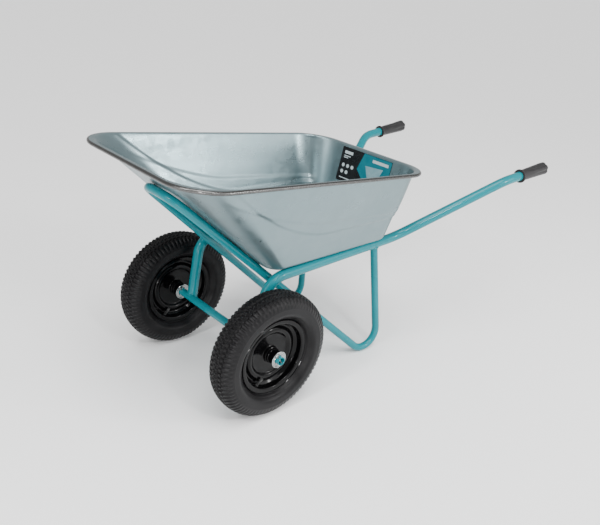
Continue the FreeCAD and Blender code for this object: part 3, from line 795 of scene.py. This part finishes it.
def split_pin_mesh(centre):
    """One bent wire: leg, shank, eye, shank, leg; places are in mm across and down the pin."""
    def at(across, down):
        return centre + PIN_SIDE * (across * MM) + PIN_DOWN * (down * MM)
    first = rounded_path([at(-17.0, 16.9), at(-1.15, 14.9), at(-1.15, -13.0)], [PIN_BEND])
    second = rounded_path([at(1.15, -13.0), at(1.15, 14.9), at(17.0, 16.3)], [PIN_BEND])
    turns = [math.radians(-18 - 324 * k / 30) for k in range(31)]
    eye = [at(4.1 * math.sin(w), -17.2 + 4.1 * math.cos(w)) for w in turns]
    path = [first[0]]
    for p in [*first[1:], *eye, *second]:
        if np.linalg.norm(p - path[-1]) > SHORTEST_STEP:
            path.append(p)
    return bar(np.array(path), PIN_WIRE_RADIUS, 14)


WASHER = revolved(WASHER_PROFILE, 80)
for name, side in SIDES:
    for spot, end in (("outer", side), ("inner", -side)):
        face = side * TRACK / 2 + end * WASHER_FACE
        placed = place(WASHER, face, flip=end < 0)
        washer = add_mesh("axle_washer_" + name + "_" + spot + "_look", *placed, ZINC, "frame", "zinc")
        auto_sharp(washer, 40)
        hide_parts("axle_washer_" + name + "_" + spot)
        bent = split_pin_mesh(v(AXLE_X, face + end * PIN_FROM_WASHER, AXLE_Z))
        pin = add_mesh("split_pin_" + name + "_" + spot + "_look", *bent, ZINC, "frame", "zinc")
        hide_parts("split_pin_" + name + "_" + spot)


# ---------------------------------------------------------------- grips: millimetres from the blunt end
GRIP_LENGTH, GRIP_BORE, COLLAR, WAIST, TIP = 148.0, 16.1, 24.0, 18.8, 23.5
COLLAR_START = GRIP_LENGTH - 6.0
LEAF_START, LEAF_END = 26, 118
GRIP_LOBES, GRIP_SEGMENTS = 6, 120


def grip_stations():
    """(distance from the blunt end, radius) of every ring, from the collar's face to the tip."""
    stations = [(GRIP_LENGTH, GRIP_BORE), (GRIP_LENGTH, COLLAR - 1.0), (GRIP_LENGTH - 0.6, COLLAR - 0.2),
                (GRIP_LENGTH - 1.6, COLLAR), (COLLAR_START + 1.4, COLLAR), (COLLAR_START + 0.4, COLLAR - 0.5),
                (COLLAR_START, COLLAR - 1.6), (COLLAR_START - 0.3, WAIST + 0.4)]
    for d in np.arange(COLLAR_START - 1.5, 7.5, -1.6):
        stations.append((d, WAIST + (TIP - WAIST) * (1 - d / COLLAR_START)))
    for w in np.radians(np.arange(4, 91, 8)):
        stations.append((7.0 * (1 - math.sin(w)) + 0.2, TIP - 7.4 + 7.0 * math.cos(w)))
    return stations + [(0.2, 11.0), (1.2, 9.0), (1.2, 5.0)]


def relief_share(d, r):
    """How much of the moulded relief a ring carries: none on the collar and in the end's dimple."""
    if 7 < d < COLLAR_START - 1:
        return 1.0
    return 0.85 if d <= 7 and r > 14 else 0.0


def grip_mesh(side):
    """Moulded sleeve: collar, waist, broad lobes that deepen towards the blunt end, a leaf panel on top."""
    before_end, end = handle_points(side)[-2:]
    axis = unit(end - before_end)
    top = unit(v(0, 0, 1) - axis[2] * axis)
    across = np.cross(axis, top)
    stations = grip_stations()
    verts = []
    for d, r in stations:
        lobe_depth = 0.3 + 2.3 * float(smoothstep(110.0, 10.0, d))
        share = relief_share(d, r)
        for k in range(GRIP_SEGMENTS):
            w = 2 * math.pi * k / GRIP_SEGMENTS
            lobe = 0.5 - 0.5 * math.cos(GRIP_LOBES * w)
            radius = r - lobe_depth * lobe ** 2 * share
            if LEAF_START < d < LEAF_END:
                half_angle = 0.50 * math.sin(math.pi * (d - LEAF_START) / (LEAF_END - LEAF_START)) ** 0.7
                from_top = abs(math.atan2(math.sin(w), math.cos(w)))
                radius -= 1.1 * float(smoothstep(half_angle + 0.04, half_angle - 0.04, from_top)) * share
            out = math.cos(w) * top + math.sin(w) * across
            verts.append(end - axis * (d * MM) + radius * MM * out)
    faces = grid_faces(len(stations), GRIP_SEGMENTS, wrap_cols=True)
    last = (len(stations) - 1) * GRIP_SEGMENTS
    faces.append(tuple(last + k for k in range(GRIP_SEGMENTS)))
    return verts, faces


for name, side in SIDES:
    grip = add_mesh("grip_" + name + "_look", *grip_mesh(side), GRIP, "frame", "grip_plastic")
    outward(grip)
    auto_sharp(grip, 45)
    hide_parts("grip_" + name)


# ---------------------------------------------------------------- label: (y, drop) shapes on the rear wall
LABEL_DOWN = unit(v(0.0535, 0, -0.237))
LABEL_IN = unit(v(0.237, 0, 0.0535))
LABEL_TOP = v(-0.1645, 0, 0.633) + LABEL_DOWN * 0.008
PLATE_LOW, PLATE_HIGH, FIELD_HIGH, PRINT_HIGH = 0.00145, 0.00172, 0.00178, 0.00184


def on_label(y, drop, lift):
    """Point on the label: across, down from its top edge and off the wall."""
    return LABEL_TOP + v(0, y, 0) + LABEL_DOWN * drop + LABEL_IN * lift


def slab(shape, low, high):
    """Thin plate from (y, drop) points on the label."""
    n = len(shape)
    verts = [on_label(y, d, lift) for lift in (low, high) for y, d in shape]
    faces = [tuple(range(n)), tuple(range(2 * n - 1, n - 1, -1))]
    faces += [(i, n + i, n + (i + 1) % n, (i + 1) % n) for i in range(n)]
    return verts, faces


def disc(y, d, r=0.0065, n=20):
    """Round dot."""
    turns = [2 * math.pi * k / n for k in range(n)]
    return [(y + r * math.cos(w), d + r * math.sin(w)) for w in turns]


def strip(y0, y1, d, h):
    """Bar from y0 to y1, h high."""
    return [(y0, d), (y1, d), (y1, d + h), (y0, d + h)]


LABEL_FIELD = [(-0.012, 0.001), (0.112, 0.001), (0.112, 0.117), (0.035, 0.117), (-0.030, 0.060)]
TRAY_DRAWING = [(0.004, 0.040), (0.082, 0.034), (0.066, 0.078), (0.024, 0.080)]
MARKS_ON_BLACK = [strip(-0.100, -0.062, 0.012, 0.010), strip(-0.100, -0.070, 0.028, 0.003),
                  strip(-0.100, -0.080, 0.034, 0.003), strip(-0.100, -0.040, 0.104, 0.003)]
MARKS_ON_BLACK += [disc(-0.094 + 0.021 * k, drop) for drop, count in ((0.062, 3), (0.084, 2))
                   for k in range(count)]

layers = (
    ("tray_label_plate", [slab(strip(-0.113, 0.113, 0.0, 0.118), PLATE_LOW, PLATE_HIGH)], LABEL_BLACK),
    ("tray_label_teal", [slab(LABEL_FIELD, PLATE_HIGH, FIELD_HIGH)], LABEL_TEAL),
    ("tray_label_picture", [slab(TRAY_DRAWING, FIELD_HIGH, PRINT_HIGH),
                            slab(strip(0.004, 0.070, 0.084, 0.0025), FIELD_HIGH, PRINT_HIGH)], LABEL_GREY),
    ("tray_label_marks", [slab(mark, PLATE_HIGH, PRINT_HIGH) for mark in MARKS_ON_BLACK]
     + [slab(strip(0.030, 0.100, 0.012, 0.010), FIELD_HIGH, PRINT_HIGH)], LABEL_WHITE))
label_pieces = []
for name, slabs, material in layers:
    label_pieces.append(add_mesh(name, *join(*slabs), material, "frame", "label", smooth=False))
    outward(label_pieces[-1])
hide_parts("tray_label")


# ---------------------------------------------------------------- valves
VALVE_TURN = math.radians(28.0)                 # round the wheel from straight down
VALVE_FOOT_RADIUS, VALVE_FOOT_Y = 0.1046, 0.0062
VALVE_LEAN, VALVE_SINK = 0.35, 0.002
STEM_STATIONS = [(0, 5.4, 0), (9.4, 5.4, 0), (10.6, 5.0, 0), (11.2, 4.2, 0), (18.0, 3.9, 0), (22.0, 3.9, 0),
                 (22.4, 3.3, 0), (26.0, 3.3, 0)]
CAP_STATIONS = [(26.0, 4.4, 0), (26.4, 4.6, 1), (33.6, 4.6, 1), (34.6, 4.0, 0), (35.0, 2.8, 0)]
CAP_RIBS, CAP_RIB_DEPTH = 14, 0.45


def valve_frame(side):
    """Foot and axis of a wheel's valve."""
    out = v(math.sin(VALVE_TURN), 0, -math.cos(VALVE_TURN))
    foot = v(AXLE_X, side * TRACK / 2 + VALVE_FOOT_Y, AXLE_Z) + out * VALVE_FOOT_RADIUS
    axis = unit(v(-out[0], VALVE_LEAN, -out[2]))
    return foot - axis * VALVE_SINK, axis


def ribbed(base, axis, stations, ribs, depth, segments=48):
    """Turned piece of (along, radius, share of the ribs) stations in mm, grooved between its ribs."""
    a = unit(np.cross(axis, v(0, 1, 0)))
    b = np.cross(axis, a)
    verts = []
    for along, radius, share in stations:
        for k in range(segments):
            w = 2 * math.pi * k / segments
            r = radius - share * depth * (0.5 + 0.5 * math.cos(ribs * w))
            verts.append(base + axis * (along * MM) + r * MM * (math.cos(w) * a + math.sin(w) * b))
    faces = grid_faces(len(stations), segments, wrap_cols=True)
    faces.append(tuple(range(segments)))
    faces.append(tuple((len(stations) - 1) * segments + k for k in range(segments)))
    return verts, faces


for name, side in SIDES:
    body = "wheel_" + name
    base, axis = valve_frame(side)
    stem_shape = ribbed(base, axis, STEM_STATIONS, 1, 0.0)
    cap_shape = ribbed(base, axis, CAP_STATIONS, CAP_RIBS, CAP_RIB_DEPTH)
    stem = add_mesh(body + "_valve_stem_look", *stem_shape, VALVE, body, "valve_rubber")
    cap = add_mesh(body + "_valve_cap_look", *cap_shape, CAP, body, "cap_plastic")
    for obj, node in ((stem, body + "_valve_stem"), (cap, body + "_valve_cap")):
        outward(obj)
        auto_sharp(obj, 40)
        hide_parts(node)


# ---------------------------------------------------------------- camera (solved from the photograph)
azimuth, elevation, roll = math.radians(136.24), math.radians(24.44), math.radians(4.71)
CAMERA_PLACE = (1.5199, 1.4711, 1.2473)
towards = Vector((math.sin(azimuth) * math.cos(elevation), -math.cos(azimuth) * math.cos(elevation),
                  math.sin(elevation)))
right = (-towards).cross(Vector((0, 0, 1))).normalized()
up = right.cross(-towards)
x_axis = math.cos(roll) * right + math.sin(roll) * up
y_axis = -math.sin(roll) * right + math.cos(roll) * up
camera_data = bpy.data.cameras.new("camera")
camera_data.sensor_width = 36.0
camera_data.lens = 40.63
camera_data.shift_x = -0.0015
camera_data.shift_y = -0.014
camera = bpy.data.objects.new("camera", camera_data)
basis = Matrix((x_axis, y_axis, towards)).transposed().to_4x4()
camera.matrix_world = Matrix.Translation(CAMERA_PLACE) @ basis
bpy.context.scene.collection.objects.link(camera)
bpy.context.scene.camera = camera

# ---------------------------------------------------------------- floor and light
GROUND_HALF, GROUND_Z = 90, -0.0005
corner_signs = ((-1, -1), (1, -1), (1, 1), (-1, 1))
ground_corners = [(GROUND_HALF * x, GROUND_HALF * y, GROUND_Z) for x, y in corner_signs]
floor_mesh = bpy.data.meshes.new("floor")
floor_mesh.from_pydata(ground_corners, [], [(0, 1, 2, 3)])
floor = bpy.data.objects.new("floor", floor_mesh)
floor_material, _, floor_bsdf = new_material("floor")
floor_bsdf.inputs["Base Color"].default_value = (0.92, 0.92, 0.92, 1)
floor_bsdf.inputs["Roughness"].default_value = 0.6
floor_mesh.materials.append(floor_material)
bpy.context.scene.collection.objects.link(floor)

world = bpy.data.worlds.new("world")
bpy.context.scene.world = world
world.use_nodes = True
world.node_tree.nodes["Background"].inputs["Color"].default_value = (1, 1, 1, 1)
world.node_tree.nodes["Background"].inputs["Strength"].default_value = 0.65


def add_light(name, data, direction):
    """A light that shines along a direction."""
    light = bpy.data.objects.new(name, data)
    light.rotation_euler = Vector(direction).to_track_quat("-Z", "Y").to_euler()
    bpy.context.scene.collection.objects.link(light)
    return light


def softbox(name, place, aim, size, power):
    """Rectangular light at a place, turned towards an aim."""
    data = bpy.data.lights.new(name, "AREA")
    data.shape = "RECTANGLE"
    data.size, data.size_y = size
    data.energy = power
    add_light(name, data, Vector(aim) - Vector(place)).location = place


def sun(name, direction, strength, degrees):
    """Distant light with a soft edge."""
    data = bpy.data.lights.new(name, "SUN")
    data.energy = strength
    data.angle = math.radians(degrees)
    add_light(name, data, direction)


sun("overhead", (-0.15, -0.25, -1.0), 3.05, 40)
softbox("wall", (-1.6, 3.2, 1.7), (0.1, 0, 0.5), (3.2, 2.2), 68)
softbox("front", (3.4, 0.2, 1.5), (0.2, 0, 0.4), (1.2, 1.2), 20)
GLINTS = (("front", (2.5, 0.5, 2.3)), ("side", (0.75, 2.4, 2.3)), ("rear", (-1.2, 2.6, 1.5)),
          ("low", (2.3, 2.2, 0.7)))
for name, place_of_light in GLINTS:
    softbox("glint_" + name, place_of_light, (0.35, 0.1, 0.3), (0.34, 0.40), 27)
